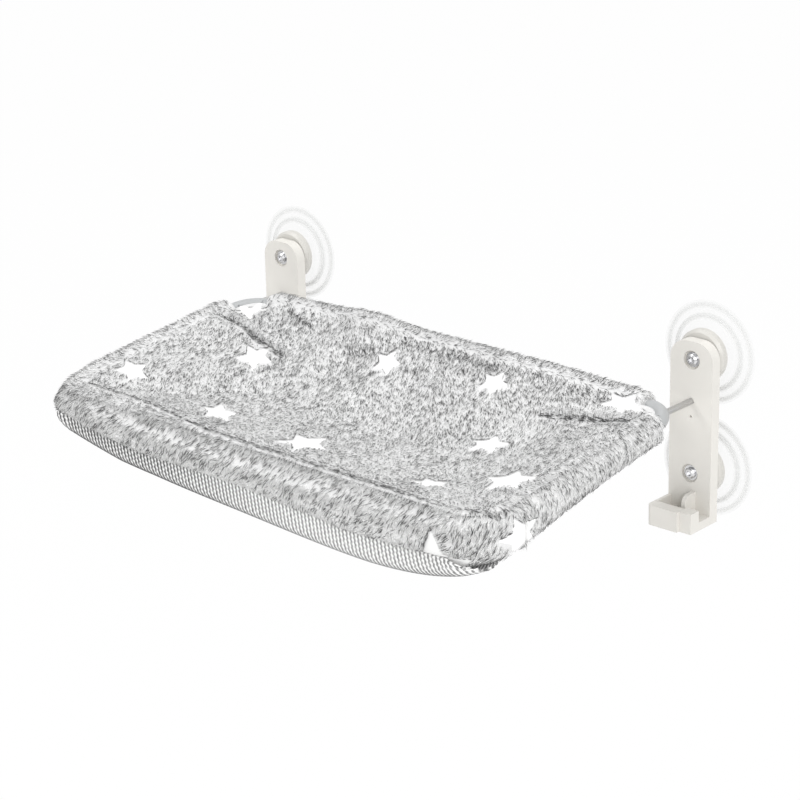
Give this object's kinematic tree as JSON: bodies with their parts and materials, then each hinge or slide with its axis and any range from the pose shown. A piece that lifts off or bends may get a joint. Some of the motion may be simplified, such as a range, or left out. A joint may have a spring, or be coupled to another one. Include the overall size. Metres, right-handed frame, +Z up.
{
  "type": "window mounted cat perch",
  "caption": "Sling bed on a tube frame in a plush cover, plugged with two level prongs into channel brackets that hold to a window with suction cups.",
  "frame": {"origin": "on the glass, midway between the two brackets and midway between their upper and lower cups", "axes": "+X along the window to the right seen from the room, +Y into the glass, +Z up"},
  "size_m": [0.595, 0.3327, 0.201],
  "materials": {
    "bracket_plastic": "smooth moulded plastic with a light satin sheen",
    "cup_vinyl": "clear soft vinyl, glossy",
    "hub_plastic": "white moulded plastic, half gloss",
    "insert_brass": "turned brass",
    "screw_steel": "plated steel",
    "prong_steel": "drawn steel rod",
    "frame_paint": "grey powder coat",
    "elbow_plastic": "smooth light grey moulded plastic",
    "plush": "short grey plush with scattered white stars",
    "filling": "loose fibre filling",
    "knit": "grey ribbed knit"
  },
  "bodies": {
    "window_brackets": {"bracket_left": "bracket_plastic", "bracket_right": "bracket_plastic", "suction_cup_left_upper": "cup_vinyl", "suction_cup_left_lower": "cup_vinyl", "suction_cup_right_upper": "cup_vinyl", "suction_cup_right_lower": "cup_vinyl", "cup_hub_left_upper": "hub_plastic", "cup_hub_left_lower": "hub_plastic", "cup_hub_right_upper": "hub_plastic", "cup_hub_right_lower": "hub_plastic", "cup_insert_left_upper": "insert_brass", "cup_insert_left_lower": "insert_brass", "cup_insert_right_upper": "insert_brass", "cup_insert_right_lower": "insert_brass", "washer_left_upper": "screw_steel", "washer_left_lower": "screw_steel", "washer_right_upper": "screw_steel", "washer_right_lower": "screw_steel", "screw_left_upper": "screw_steel", "screw_left_lower": "screw_steel", "screw_right_upper": "screw_steel", "screw_right_lower": "screw_steel"},
    "perch": {"prong_left": "prong_steel", "prong_right": "prong_steel", "frame_tube_back": "frame_paint", "frame_tube_front": "frame_paint", "frame_tube_left": "frame_paint", "frame_tube_right": "frame_paint", "elbow_back_left": "elbow_plastic", "elbow_back_right": "elbow_plastic", "elbow_front_left": "elbow_plastic", "elbow_front_right": "elbow_plastic", "back_roll": "plush", "side_roll_left": "plush", "side_roll_right": "plush", "front_bolster": "plush", "plush_bed": "plush", "filling_pad": "filling", "knit_underside": "knit"}
  },
  "joints": [
    {"name": "perch_slide", "type": "slide", "parent": "window_brackets", "child": "perch", "axis": [0, -1, 0], "range_m": [0, 0.03]}
  ]
}
